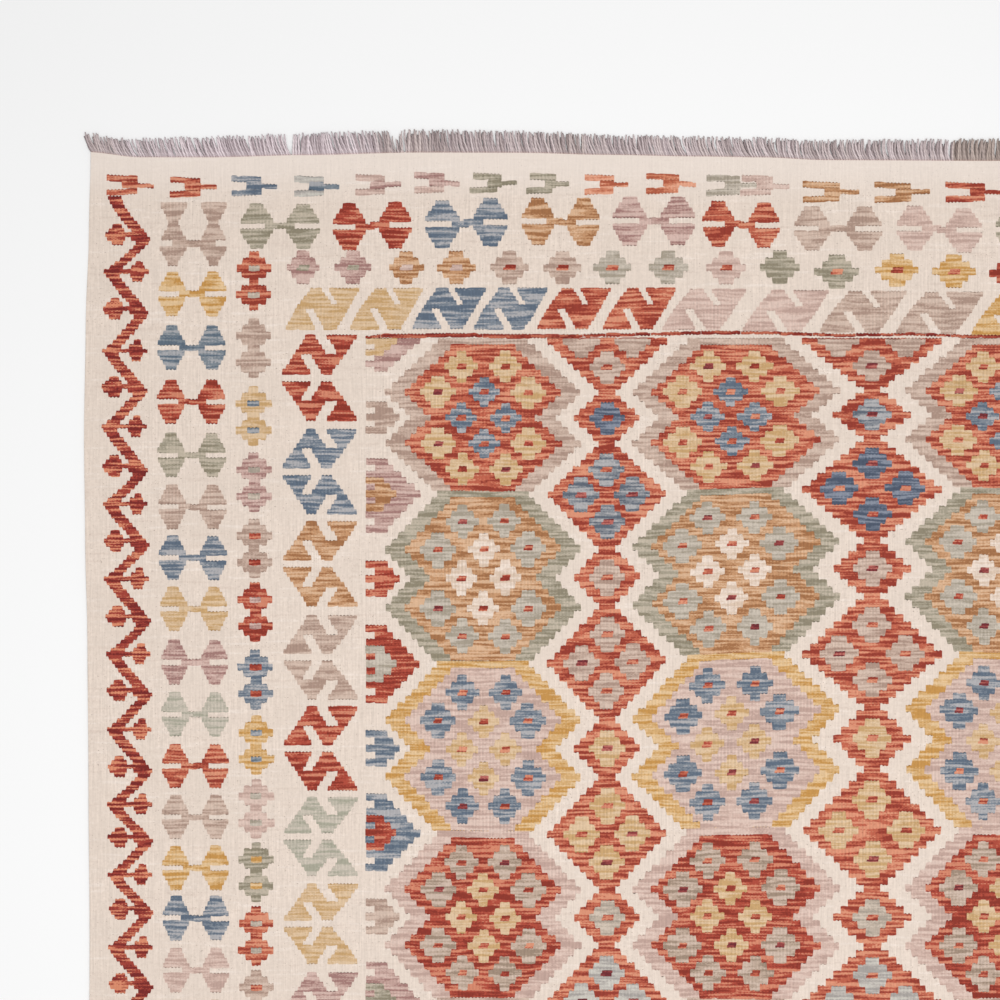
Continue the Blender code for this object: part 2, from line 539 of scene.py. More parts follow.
# How far down the vine's turns lie from their even places.
VINE_WANDER = table(
    "along out",
    (50.0, 0.0), (108.0, -1.0), (203.0, -2.0), (244.0, 4.5), (298.0, 2.0), (340.0, 5.6),
    (392.0, 8.3), (435.0, 9.2), (487.0, 8.8), (583.0, 10.0), (626.0, 10.2), (681.0, 8.5),
    (721.0, 11.0), (774.0, 10.6), (817.0, 11.5), (870.0, 5.0), (913.0, 5.8), (965.0, 1.2),
    (1007.0, 3.2), (1061.0, 0.8), (1200.0, 0.0), (3000.0, 0.0),
)


def weave_vine(cloth):
    """A zigzag band with a bud on a stem inside each turn."""
    total = int((VINE_END - VINE_TOP) / VINE_ROW)
    rows = list(VINE_START)
    while len(rows) < total:
        rows.append(VINE[(VINE_FIRST + len(rows) - len(VINE_START)) % len(VINE)])
    scaled = [[(left * VINE_PAIR, right * VINE_PAIR) for left, right in row] for row in rows]
    cloth.wander = VINE_WANDER
    cloth.stack(VINE_X, VINE_TOP, [VINE_ROW] * total, scaled, "vine", 1)


DUMBBELL_X = 134.0
DUMBBELL_SIZE = 17.2
DUMBBELL_REACH = 51.5
DUMBBELL_ROW = 6.1
# at: how far down a motif's middle is, or the upper edge of a pair of hooks.
SIDE_DUMBBELLS = table(
    "at yarn",
    (176.5, "gold"), (245.2, "denim"), (314.2, "red"), (382.2, "sage"), (448.1, "mauve"),
    (513.0, "blue"), (578.3, "straw"), (646.0, "plum"), (712.8, "celadon"), (778.6, "orange"),
    (843.5, "mauve"), (908.6, "gold"), (972.6, "blue"), (1039.1, "pink"),
)
SIDE_DUMBBELL_PITCH = 66.3
SIDE_DUMBBELL_END = 2900.0

BLOSSOM_X = 212.0
BLOSSOM_HALVES = (6.2, 15.0, 23.3)
BLOSSOM_HEIGHTS = (8.0, 9.0, 9.0, 7.5, 9.5, 8.0, 9.0, 7.5, 7.5)
BLOSSOM_HEART = (14.5, 7.0)     # width and height, as of every heart below
BLOSSOM_HEART_ROWS = (2, 6)     # the widest rows
SIDE_BLOSSOMS = table(
    "at yarn heart",
    (159.7, "orange", "stone"), (245.8, "mauve", None), (332.4, "straw", "denim"),
    (416.7, "plum", "stone"), (501.0, "mauve", "red"), (582.3, "red", "plum"),
    (668.3, "blue", "orange"), (751.9, "gold", "denim"), (833.0, "pink", "mint"),
    (913.4, "sage", "gold"), (995.2, "orange", "stone"), (1076.5, "mauve", "red"),
)
SIDE_BLOSSOM_PITCH = 83.4
SIDE_BLOSSOM_END = 2850.0

SIDE_HOOK_X = 247.7
SIDE_HOOK_WIDTH = 95.4
SIDE_HOOK_GAP = 9.0       # between a hook and its mirror image below
SIDE_HOOKS = table(
    "at yarn height",
    (228.6, "red", 50.2), (348.6, "blue", 49.8), (466.1, "tan", 50.0), (586.1, "mauve", 49.2),
    (702.4, "red", 49.2), (818.6, "celadon", 45.3), (929.0, "straw", 46.0),
    (1042.0, "plum", 46.5),
)
SIDE_HOOK_PITCH = 116.4
SIDE_HOOK_END = 2665.0


def carried_on(motifs, pitch, end):
    """The motifs, then the same in turn at an even pitch."""
    run = list(motifs)
    while run[-1].at + pitch <= end:
        model = motifs[len(run) % len(motifs)]
        run.append(model._replace(at=run[-1].at + pitch))
    return run


def weave_side(cloths):
    """The four rows of motifs down the left edge."""
    weave_vine(cloths["vine"])
    weave_corner_motif(cloths["dumbbells"])
    for motif in carried_on(SIDE_DUMBBELLS, SIDE_DUMBBELL_PITCH, SIDE_DUMBBELL_END):
        weave_dumbbell(cloths["dumbbells"], DUMBBELL_X, motif.at, motif.yarn,
                       DUMBBELL_SIZE, DUMBBELL_REACH, DUMBBELL_ROW)
    for motif in carried_on(SIDE_BLOSSOMS, SIDE_BLOSSOM_PITCH, SIDE_BLOSSOM_END):
        weave_blossom_pair(cloths["blossoms"], motif)
    for motif in carried_on(SIDE_HOOKS, SIDE_HOOK_PITCH, SIDE_HOOK_END):
        lower = motif.at + motif.height + SIDE_HOOK_GAP
        for top, chart in ((motif.at, SIDE_HOOK), (lower, SIDE_HOOK[::-1])):
            weave_hook(cloths["hooks"], SIDE_HOOK_X, top, SIDE_HOOK_WIDTH,
                       motif.height, motif.yarn, chart)


# The corner's dumbbell: half widths and heights of its rows above and below its bar.
CORNER_TOP = 60.5
CORNER_ABOVE = table(
    "half height",
    (17.0, 7.8), (13.2, 6.2), (9.4, 7.2), (6.2, 7.6), (8.4, 6.4), (12.2, 6.4), (16.0, 6.0),
)
CORNER_BELOW = table("half height", (17.2, 6.0), (13.6, 6.2), (9.8, 6.2), (6.0, 6.4))
CORNER_BAR_HEIGHT = 7.6
CORNER_BAR_LEFT = 1.5     # how far the bar reaches past the lobes' middles
CORNER_BAR_RIGHT = 2.2


def corner_lobes(rows, middle):
    """Two spans a row, one for each lobe."""
    return [[(-middle - row.half, -middle + row.half), (middle - row.half, middle + row.half)]
            for row in rows]


def weave_corner_motif(cloth):
    """The corner's dumbbell has flared heads over its lobes."""
    middle = DUMBBELL_REACH / 2
    bar = [(-middle - CORNER_BAR_LEFT, middle + CORNER_BAR_RIGHT)]
    spans = [*corner_lobes(CORNER_ABOVE, middle), bar, *corner_lobes(CORNER_BELOW, middle)]
    heights = [row.height for row in CORNER_ABOVE] + [CORNER_BAR_HEIGHT]
    heights += [row.height for row in CORNER_BELOW]
    cloth.stack(DUMBBELL_X, CORNER_TOP, heights, spans, "mauve", 1)


def weave_blossom_pair(cloth, motif):
    """Two flowers that share a stub, one over the other."""
    stub, middle, wide = BLOSSOM_HALVES
    halves = (stub, middle, wide, middle, stub, middle, wide, middle, stub)
    top = motif.at - sum(BLOSSOM_HEIGHTS) / 2
    cloth.stack(BLOSSOM_X, top, BLOSSOM_HEIGHTS, centred(*halves), motif.yarn, 1)
    if motif.heart:
        width, height = BLOSSOM_HEART
        for row in BLOSSOM_HEART_ROWS:
            centre = top + sum(BLOSSOM_HEIGHTS[:row]) + BLOSSOM_HEIGHTS[row] / 2
            cloth.stack(BLOSSOM_X, centre - height / 2, [height], centred(width / 2),
                        motif.heart, 2)


# ------------ head and foot borders
GLYPH_PRONG = 39.4        # length of the prongs
GLYPH_NOTCH = 19.0        # and of the notch between them
GLYPH_NOTCH_GROWTH = 2.3  # a stretched glyph's notch grows this much more than its prongs
GLYPH_WIDTH = 60.0
GLYPH_PRONG_HEIGHT = 7.4
GLYPH_TONGUE_ROWS = (2.3, 5.2, 2.3)
GLYPH_TONGUE_LEVEL = 0.5  # how many layers prouder a tongue is than its prongs
GLYPH_SPLAY = 0.045       # slope of the prongs, which lie apart at their left ends
# x, y: a motif's upper left corner here and in END_HOOKS, its middle in the other tables.
# shift: how far the lower prong starts left of the upper one. tilt: the tongue's slope.
GLYPHS = table(
    "x y upper tongue lower stretch shift tilt",
    (24.3, 25.5, "orange", "orange", "orange", 1.0, 0.5, 0.07),
    (104.7, 28.0, "orange", "orange", "orange", 1.0, 0.0, 0.02),
    (183.0, 27.0, "blue", "blue", "blue", 0.98, 0.0, 0.03),
    (263.0, 27.3, "ash", "denim", "ash", 0.96, 0.0, 0.03),
    (341.0, 25.2, "pink", "plum", "pink", 0.97, 0.0, -0.05),
    (416.3, 22.8, "plum", "plum", "pink", 0.97, 0.0, 0.07),
    (490.8, 23.2, "sage", "sage", "sage", 0.93, 4.6, -0.03),
    (563.4, 24.0, "sage", "sage", "sage", 0.85, 4.8, 0.0),
    (634.0, 24.8, "apricot", "apricot", "apricot", 0.93, 0.0, 0.0),
    (711.7, 23.4, "apricot", "apricot", "apricot", 1.07, 0.5, 0.09),
    (788.6, 25.6, "mint", "mint", "mint", 1.1, 0.0, 0.0),
    (834.0, 26.4, "pink", "pink", "pink", 1.0, 2.0, 0.04),
    (911.5, 34.0, "tan", "tan", "tan", 1.2, 0.0, 0.02),
    (1003.4, 34.4, "tan", "tan", "tan", 1.18, 0.0, -0.03),
    (1093.8, 34.4, "orange", "orange", "orange", 1.27, 0.0, 0.02),
    (1188.0, 33.5, "blue", "denim", "blue", 1.2, 0.0, 0.03),
    (1281.0, 31.0, "plum", "plum", "pink", 1.15, 2.0, -0.04),
    (1372.0, 28.0, "sage", "sage", "stone", 1.1, 0.0, 0.02),
    (1463.0, 26.0, "apricot", "orange", "orange", 1.1, 3.0, 0.05),
    (1554.0, 25.0, "ash", "denim", "ash", 1.1, 0.0, 0.0),
    (1645.0, 25.0, "tan", "gold", "tan", 1.1, 0.0, -0.03),
    (1736.0, 26.0, "red", "orange", "orange", 1.1, 1.0, 0.06),
    (1827.0, 27.0, "pink", "plum", "pink", 1.1, 0.0, 0.03),
    (1916.0, 27.0, "blue", "blue", "blue", 1.0, 0.0, 0.0),
)

END_DUMBBELLS = table(
    "x y yarn size reach row lift",
    (245.0, 90.2, "sage", 21.2, 59.0, 6.2, 0.0), (362.8, 89.9, "red", 20.8, 59.0, 6.5, 2.3),
    (482.7, 86.4, "blue", 22.2, 61.4, 6.6, 2.9), (603.0, 84.5, "tan", 20.6, 58.0, 6.6, -1.4),
    (721.8, 83.6, "plum", 22.2, 61.6, 6.7, 0.4),
    (833.2, 88.0, "orange", 20.4, 58.0, 6.25, -1.9),
    (956.8, 93.3, "mauve", 22.9, 66.5, 6.0, -0.3),
    (1085.7, 94.0, "pink", 23.4, 62.8, 6.1, -3.2), (1210.0, 94.0, "sage", 22.0, 62.0, 6.2, 0.0),
    (1332.0, 92.0, "gold", 21.5, 61.0, 6.3, 1.6), (1452.0, 90.0, "blue", 21.5, 60.0, 6.4, 0.8),
    (1572.0, 89.0, "red", 21.0, 60.0, 6.4, -1.0), (1692.0, 89.0, "mint", 21.0, 60.0, 6.3, 0.0),
)

END_FLOWER_HALVES = (8.6, 17.1, 25.2)
END_FLOWER_ROW = 8.4
END_FLOWER_HEART = (16.0, 6.8)
END_FLOWERS = table(
    "x y yarn heart stretch",
    (274.6, 143.0, "plum", "sage", 0.88), (337.9, 143.0, "plum", "sage", 0.95),
    (406.1, 143.0, "tan", "pink", 0.92), (469.9, 143.0, "tan", "pink", 1.0),
    (537.6, 143.0, "mauve", "red", 1.0), (605.3, 143.0, "mauve", "red", 1.0),
    (669.1, 143.0, "mint", "red", 1.0), (740.1, 143.0, "mint", "red", 1.05),
    (814.1, 143.4, "pink", "orange", 1.03), (882.4, 142.6, "sage", None, 1.05),
    (955.2, 148.0, "sage", "orange", 1.15), (1031.8, 146.0, "gold", "red", 1.12),
    (1104.6, 148.0, "gold", "red", 1.12), (1177.4, 150.0, "red", "stone", 1.1),
    (1250.0, 149.0, "red", "stone", 1.05), (1320.0, 147.0, "denim", "orange", 1.0),
    (1390.0, 145.0, "denim", "orange", 1.0), (1460.0, 143.0, "straw", "red", 1.0),
    (1530.0, 143.0, "straw", "red", 1.0), (1600.0, 143.0, "plum", "sage", 1.0),
    (1670.0, 143.0, "plum", "sage", 1.0),
)

END_HOOK_HEIGHT = 52.5
END_HOOK_WIDTH = 93.5
END_HOOKS = table(
    "x y yarn stretch",
    (252.8, 169.0, "straw", 1.0), (334.6, 169.0, "straw", 1.0), (413.7, 169.0, "blue", 1.0),
    (492.9, 169.0, "blue", 1.0), (573.4, 169.0, "orange", 1.0), (656.4, 169.0, "orange", 1.0),
    (733.0, 170.0, "pink", 1.14), (835.2, 171.5, "pink", 1.18), (934.0, 172.5, "mauve", 1.18),
    (1030.5, 174.5, "mauve", 1.19), (1126.3, 177.0, "gold", 1.15), (1222.0, 176.0, "gold", 1.1),
    (1315.0, 174.0, "sage", 1.05), (1402.0, 172.0, "sage", 1.0), (1485.0, 170.0, "red", 1.0),
    (1566.0, 169.0, "red", 1.0), (1647.0, 169.0, "blue", 1.0),
)


def weave_glyph(cloth, motif, level):
    """Two prongs to the left and a tongue to the right, in three pieces that overlap."""
    prong = GLYPH_PRONG * motif.stretch
    notch = GLYPH_NOTCH * (1.0 + GLYPH_NOTCH_GROWTH * max(0.0, motif.stretch - 1.0))
    reach = GLYPH_WIDTH * motif.stretch
    pinch = GLYPH_SPLAY * prong / 2
    joint = motif.y + GLYPH_PRONG_HEIGHT
    foot = joint + sum(GLYPH_TONGUE_ROWS)
    inside = [(notch - prong, 0.0)]
    tongue = [inside, [(notch - prong, reach - prong)], inside]
    cloth.stack(motif.x, motif.y - pinch, [GLYPH_PRONG_HEIGHT], [[(0.0, prong)]],
                motif.upper, level, slope=GLYPH_SPLAY)
    cloth.stack(motif.x - motif.shift, foot + pinch, [GLYPH_PRONG_HEIGHT], [[(0.0, prong)]],
                motif.lower, level, slope=-GLYPH_SPLAY)
    cloth.stack(motif.x + prong, joint, GLYPH_TONGUE_ROWS, tongue, motif.tongue,
                level + GLYPH_TONGUE_LEVEL, slope=motif.tilt)


def weave_end(cloths):
    """The four rows of motifs across the head end."""
    for number, motif in enumerate(GLYPHS):
        weave_glyph(cloths["glyphs"], motif, 1 + number % 2)
    for motif in END_DUMBBELLS:
        weave_dumbbell(cloths["dumbbells"], *motif)
    for motif in END_FLOWERS:
        halves = [size * motif.stretch for size in END_FLOWER_HALVES]
        weave_flower(cloths["blossoms"], motif.x, motif.y, halves, END_FLOWER_ROW,
                     motif.yarn, motif.heart, 1, END_FLOWER_HEART)
    for motif in END_HOOKS:
        weave_hook(cloths["hooks"], motif.x, motif.y, END_HOOK_WIDTH * motif.stretch,
                   END_HOOK_HEIGHT, motif.yarn, END_HOOK)


GUARD_RISE = 0.4          # how far one lap lies above or below the next, about
GUARD_LINE = table(
    "x y thickness",
    (354.5, 232.0, 2.6), (368.0, 231.0, 3.6), (375.5, 229.8, 4.6), (488.0, 229.2, 4.8),
    (503.0, 229.9, 4.5), (564.5, 230.8, 4.3), (602.5, 231.0, 4.1), (641.0, 229.5, 3.9),
    (717.5, 228.0, 3.6), (781.5, 226.0, 3.4), (832.5, 226.0, 3.3), (909.0, 227.2, 3.2),
    (947.5, 229.0, 3.1), (1011.5, 228.3, 3.0), (1043.0, 227.6, 3.0), (1094.5, 229.3, 3.1),
    (1120.0, 230.9, 3.0), (1400.0, 230.2, 3.2), (1645.5, 231.0, 2.8),
)


def weave_guard_line(cloth):
    """The thin red line between the end border and the field, in short straight laps."""
    for before, after in zip(GUARD_LINE, GUARD_LINE[1:]):
        laps = max(1, round(abs(after.y - before.y) / GUARD_RISE))
        for lap in range(laps):
            share = (lap + 0.5) / laps
            left = before.x + (after.x - before.x) * lap / laps
            right = before.x + (after.x - before.x) * (lap + 1) / laps
            y = before.y + (after.y - before.y) * share
            thickness = before.thickness + (after.thickness - before.thickness) * share
            cloth.stack(0.0, y - thickness / 2, [thickness], [[(left, right)]], "guard", 2)


# ------------ field
FIELD_TOP = 233.2
PERIOD_ROWS = 24          # rows from the top of one medallion to the top of the next
SHOULDER_ROWS = 8         # rows from a medallion's flat end to its point
LAST_ROW = 8.1            # the flat row that closes the last medallion
RIM = 24.8                # width of a medallion's rim at its sides

THEMES = table(
    "rim fill outer inner",
    ("mauve", "orange", "straw", "blue"),
    ("sage", "tan", "mint", "white"),
    ("gold", "pink", "blue", "straw"),
    ("pink", "red", "oat", "straw"),
)
# flat: half the width of a medallion's flat end. step: how much farther out each next row
# is. shift: how far the flowers sit off a column's middle.
MEDALLION_COLUMNS = table(
    "x flat step shift",
    (503.8, 57.4, 8.50, 0.6),
    (826.3, 62.0, 8.87, -6.0),
    (1173.2, 61.0, 8.77, -2.0),
    (1496.2, 57.4, 8.50, 0.0),
)
# flat: half a diamond's width at its point. small, large: the flowers' yarns in the diamonds
# of either size, from the head end down.
SIDE_SMALL = ("indigo", "mauve", "straw", "stone")
SIDE_LARGE = ("slate", "mauve", "straw", "ash")
MIDDLE_SMALL = ("slate", "mauve", "straw", "stone")
MIDDLE_LARGE = ("indigo", "mauve", "straw", "ash")
DIAMOND_COLUMNS = table(
    "x flat step small large",
    (661.9, 9.6, 8.35, SIDE_SMALL, SIDE_LARGE),
    (1000.0, 10.8, 9.75, MIDDLE_SMALL, MIDDLE_LARGE),
    (1338.1, 9.6, 8.35, SIDE_SMALL, SIDE_LARGE),
)
# Heights of the first medallions. The rest share what is left evenly.
FIRST_HEIGHTS = (195.0, 216.6, 216.6, 212.8)
MEDALLIONS = 12

# Flowers sit across from a medallion's middle and rows above or below it. ring: the theme's
# colour that they take. shrink: their rows' height as a share of the medallion's.
END_FLOWER = (5.9, 14.2, 21.9)
SIDE_FLOWER = (7.8, 16.4, 23.4)
INNER_FLOWER = (5.4, 13.2, 20.8)
SPOTS = table(
    "ring across rows halves shrink",
    ("outer", 27.2, 8, END_FLOWER, 0.99),
    ("outer", 56.7, 4, SIDE_FLOWER, 0.99),
    ("inner", 0.0, 4, INNER_FLOWER, 0.93),
    ("inner", 27.4, 0, INNER_FLOWER, 0.93),
)
USUAL_FLAT = 56.6         # the flat end of a medallion that these places and sizes are for
HEART = (12.6, 6.8)
HEARTS = ("red", "red", "orange", "orange", "maroon")
FLOWER_STRAY = 1.0        # how far flowers are off their places, across and down
FLOWER_SLIP = 0.8
DIAMOND_FLOWER = (8.3, 16.4, 24.0)
DIAMOND_HEART = (15.0, 6.8)
DIAMOND_HEARTS = ("red", "maroon", "orange")
DIAMOND_STRAY = 0.8       # the same across in the diamonds
DIAMOND_SIDE = 33.0       # from a large diamond's middle to its side flowers
SIDE_GROWTH = 62.0        # how much farther out they sit in a diamond twice as wide
USUAL_STEP = 8.43         # the step of a diamond that these sizes are for
LARGE_ROWS = 4            # rows from its middle to its upper and lower flowers
CUT_FLOWER_ROWS = 4.5     # from the field's end to the whole flower in a cut diamond
CUT_GAP = 1.0             # from the field's end to the cut flowers

# The half motifs at the field's sides: how many steps out their rows and their core's are.
SMALL_STEPS = (0, 1, 2, 1, 0)
LARGE_STEPS = (0, 1, 2, 3, 4, 5, 4, 3, 2, 1, 0)
CORE_STEPS = (-1, 0, 1, 0, -1)
SMALL_ROWS_DOWN = 10      # from a medallion's top to its small margin motif
CUT_ROW = 7.2             # height of the rows in a margin motif that the field's end cuts
COMB = 11.5               # how far every second row is set back at its straight side
MARGIN_X = 354.5
MARGIN_REACH = 27.3       # how far in from there a row of no steps reaches
MARGIN_STEP = 8.5
MARGIN_THEMES = table(
    "small large core",
    ("mauve", "plum", "tan"), ("red", "red", "mint"), ("blue", "blue", "red"),
    ("mauve", "plum", "sage"),
)


def fold(row):
    """How many steps a medallion's side is out from its flat end, at a row."""
    row %= PERIOD_ROWS
    row = min(row, PERIOD_ROWS - row)
    return row if row <= SHOULDER_ROWS else 2 * SHOULDER_ROWS - row


def medallion_tops():
    """The top of each medallion, and of the field's last row at the end."""
    length = BODY_LENGTH - 2 * FIELD_TOP - LAST_ROW
    unseen = MEDALLIONS - 1 - len(FIRST_HEIGHTS)
    even = (length - FIRST_HEIGHTS[0] - sum(FIRST_HEIGHTS)) / unseen
    tops = [FIELD_TOP]
    for height in [*FIRST_HEIGHTS, *[even] * unseen, FIRST_HEIGHTS[0]]:
        tops.append(tops[-1] + height)
    return tops


def field_rows(tops):
    """The height of every row of the field, from its top to its foot."""
    heights = []
    for top, bottom in zip(tops, tops[1:]):
        heights += [(bottom - top) / PERIOD_ROWS] * PERIOD_ROWS
    return heights + [LAST_ROW]


def weave_rims(cloth, column, tops):
    """One column's rims as one run of rows: a flat row belongs to the medallion below."""
    heights = field_rows(tops)
    halves = [column.flat + column.step * fold(number) for number in range(len(heights))]
    rims = [THEMES[min(number // PERIOD_ROWS, MEDALLIONS - 1) % len(THEMES)].rim
            for number in range(len(heights))]
    cloth.stack(column.x, tops[0], heights, centred(*halves), rims, 1)


def weave_medallion(cloths, column, top, height, theme):
    """A notched six-sided medallion's fill and its twelve flowers."""
    row = height / PERIOD_ROWS
    inner = [column.flat + column.step * fold(number) - RIM for number in range(1, PERIOD_ROWS)]
    cloths["fills"].stack(column.x, top + row, [row] * len(inner), centred(*inner), theme.fill, 2)
    centre = top + (PERIOD_ROWS + 1) * row / 2
    spread = column.flat / USUAL_FLAT
    draw = cloths["flowers"].draw
    for spot in SPOTS:
        halves = [size * spread for size in spot.halves]
        for side in (-1, 1) if spot.across else (1,):
            for end in (-1, 1) if spot.rows else (1,):
                x = column.x + column.shift + side * spot.across * spread
                x += draw.uniform(-FLOWER_STRAY, FLOWER_STRAY)
                y = centre + end * spot.rows * row + draw.uniform(-FLOWER_SLIP, FLOWER_SLIP)
                weave_flower(cloths["flowers"], x, y, halves, row * spot.shrink,
                             getattr(theme, spot.ring), draw.choice(HEARTS), 3, HEART)


def weave_diamond_column(cloths, column, tops):
    """Large diamonds between the medallions' flats, small ones between their notches."""
    heights = field_rows(tops)
    halves = [column.flat + column.step * (SHOULDER_ROWS - fold(number))
              for number in range(len(heights))]
    cloths["diamonds"].stack(column.x, tops[0], heights, centred(*halves), "orange", 1)
    spread = column.step / USUAL_STEP
    sizes = [size * (spread + 1) / 2 for size in DIAMOND_FLOWER]
    side = DIAMOND_SIDE + SIDE_GROWTH * (spread - 1.0)
    rows = [heights[number * PERIOD_ROWS] for number in range(MEDALLIONS)]
    for number, (top, row) in enumerate(zip(tops, rows)):
        small = column.small[number % len(column.small)]
        centre = top + (PERIOD_ROWS + 1) * row / 2
        weave_diamond_flower(cloths, column.x, centre, sizes, row, small)
    for number in range(1, MEDALLIONS):
        above, below = rows[number - 1], rows[number]
        large = column.large[(number - 1) % len(column.large)]
        join = tops[number] + below / 2
        weave_diamond_flower(cloths, column.x, join - LARGE_ROWS * above, sizes, above, large)
        weave_diamond_flower(cloths, column.x, join + LARGE_ROWS * below, sizes, below, large)
        for end in (-1, 1):
            weave_diamond_flower(cloths, column.x + end * side, join, sizes, below, large)
    weave_cut_flowers(cloths, column, tops[0], rows[0], sizes, side)
    weave_cut_flowers(cloths, column, tops[-1] + LAST_ROW, -rows[-1], sizes, side)


def weave_diamond_flower(cloths, x, y, halves, row, yarn):
    """One flower in a diamond, a little off its place."""
    draw = cloths["diamonds"].draw
    x += draw.uniform(-DIAMOND_STRAY, DIAMOND_STRAY)
    heart = draw.choice(DIAMOND_HEARTS)
    weave_flower(cloths["diamonds"], x, y, halves, row, yarn, heart, 2, DIAMOND_HEART)


def weave_cut_flowers(cloths, column, edge, row, halves, side):
    """At the field's ends a large diamond is cut: one whole flower and two cut ones show.
    The row is its height, below zero at the foot end."""
    centre = edge + CUT_FLOWER_ROWS * row
    weave_diamond_flower(cloths, column.x, centre, halves, abs(row), "mauve")
    stub, middle, wide = halves
    heights = [abs(row) - CUT_GAP, abs(row), abs(row)]
    spans = centred(wide, middle, stub)
    top = edge + CUT_GAP
    if row < 0:
        heights = heights[::-1]
        spans = spans[::-1]
        top = edge - sum(heights) - CUT_GAP
    for end in (-1, 1):
        cloths["diamonds"].stack(column.x + end * side, top, heights, spans, "mauve", 2)


def margin_rows(steps, flip, offset=0.0):
    """Rows of a margin motif: a stepped side and a straight one that is a comb."""
    spans = []
    for number, out in enumerate(steps):
        left = COMB if number % 2 else 0.0
        right = MARGIN_REACH + offset + MARGIN_STEP * out
        spans.append([(-right, -left) if flip else (left, right)])
    return spans


def weave_margin(cloth, tops, flip):
    """Half motifs along one side of the field."""
    edge = BODY_WIDTH - MARGIN_X if flip else MARGIN_X
    rows = [(bottom - top) / PERIOD_ROWS for top, bottom in zip(tops, tops[1:])]
    for number, (top, row) in enumerate(zip(tops, rows)):
        theme = MARGIN_THEMES[number % len(MARGIN_THEMES)]
        cloth.stack(edge, top + SMALL_ROWS_DOWN * row, [row] * len(SMALL_STEPS),
                    margin_rows(SMALL_STEPS, flip), theme.small, 1)
        if number + 1 < MEDALLIONS:
            for steps, offset, yarn, level in ((LARGE_STEPS, 0.0, theme.large, 1),
                                               (CORE_STEPS, MARGIN_STEP / 2, theme.core, 2)):
                above = len(steps) // 2
                heights = [row] * above + [rows[number + 1]] * (above + 1)
                cloth.stack(edge, tops[number + 1] - above * row, heights,
                            margin_rows(steps, flip, offset), yarn, level)
    weave_margin_cut(cloth, edge, tops[0], flip, 1)
    weave_margin_cut(cloth, edge, tops[-1] + LAST_ROW, flip, -1)


def weave_margin_cut(cloth, edge, y, flip, end):
    """The margin motif that the field's end cuts off."""
    for steps, offset, yarn, level in ((LARGE_STEPS, 0.0, "plum", 1),
                                       (CORE_STEPS, MARGIN_STEP / 2, "straw", 2)):
        spans = margin_rows(steps[len(steps) // 2:], flip, offset)
        heights = [CUT_ROW] * len(spans)
        top = y if end > 0 else y - sum(heights)
        cloth.stack(edge, top, heights, spans[::end], yarn, level)


def weave_field(cloths):
    """Medallions in columns, diamonds between them, half motifs at the margins."""
    tops = medallion_tops()
    for column in MEDALLION_COLUMNS:
        weave_rims(cloths["rims"], column, tops)
        for number, (top, bottom) in enumerate(zip(tops, tops[1:])):
            theme = THEMES[number % len(THEMES)]
            weave_medallion(cloths, column, top, bottom - top, theme)
    for column in DIAMOND_COLUMNS:
        weave_diamond_column(cloths, column, tops)
    weave_margin(cloths["margins"], tops, False)
    weave_margin(cloths["margins"], tops, True)


# ------------ plain ground
GROUND_ACROSS = 64        # faces across and along
GROUND_ALONG = 96
GROUND_SEED = 0.5         # where in the noises its wool is read
EDGE_EASE = 0.35          # the edge is rounded over this height at each face
# The ground's edge, from its upper face round to its lower one.
EDGE_RINGS = table(
    "inset height",
    (1.3, UPPER_SIDE),
    (0.4, UPPER_SIDE - EDGE_EASE),
    (0.0, (UPPER_SIDE + UNDERSIDE) / 2),
    (0.4, UNDERSIDE + EDGE_EASE),
    (1.3, UNDERSIDE),
)


def body_point(u, v, inset):
    """A place on the body, u across from the left edge and v along from the foot end."""
    left = -BODY_WIDTH / 2 - read(SIDE_EDGE, (1 - v) * BODY_LENGTH) + inset
    right = BODY_WIDTH / 2 + read(SIDE_EDGE, v * BODY_LENGTH) - inset
    head = BODY_LENGTH / 2 + read(END_EDGE, u * BODY_WIDTH) - inset
    foot = -BODY_LENGTH / 2 - read(END_EDGE, (1 - u) * BODY_WIDTH) + inset
    return left + (right - left) * u, foot + (head - foot) * v


def ground_places(cells, ring):
    """The places of some of the ground's grid, as far in and as high as a ring."""
    places = []
    for column, row in cells:
        x, y = body_point(column / GROUND_ACROSS, row / GROUND_ALONG, ring.inset)
        places.append((x * MM, y * MM, ring.height * MM))
    return places


def make_ground(material):
    """The plain woven ground: an upper and a lower face with a rounded rim between them."""
    columns = GROUND_ACROSS + 1
    cells = [(column, row) for row in range(GROUND_ALONG + 1) for column in range(columns)]
    places = ground_places(cells, EDGE_RINGS[0]) + ground_places(cells, EDGE_RINGS[-1])
    faces = []
    for row in range(GROUND_ALONG):
        for column in range(GROUND_ACROSS):
            corner = row * columns + column
            quad = (corner, corner + 1, corner + columns + 1, corner + columns)
            faces.append(quad)
            faces.append(tuple(len(cells) + point for point in reversed(quad)))
    border = [(column, 0) for column in range(GROUND_ACROSS)]
    border += [(GROUND_ACROSS, row) for row in range(GROUND_ALONG)]
    border += [(column, GROUND_ALONG) for column in range(GROUND_ACROSS, 0, -1)]
    border += [(0, row) for row in range(GROUND_ALONG, 0, -1)]
    rings = [[row * columns + column for column, row in border]]
    for ring in EDGE_RINGS[1:-1]:
        rings.append(range(len(places), len(places) + len(border)))
        places += ground_places(border, ring)
    rings.append([len(cells) + index for index in rings[0]])
    for upper, lower in zip(rings, rings[1:]):
        for number in range(len(border)):
            after = (number + 1) % len(border)
            faces.append((upper[number], lower[number], lower[after], upper[after]))
    places = np.array(places)
    places[:, 2] += lie(places[:, 0], places[:, 1])
    cream = YARN_NAMES.index("cream")
    return make_object("woven_ground", places, faces, [cream] * len(faces),
                       [GROUND_SEED] * len(faces), material)


# ------------ fringe
STRANDS = 580
FRINGE_SEED = 23
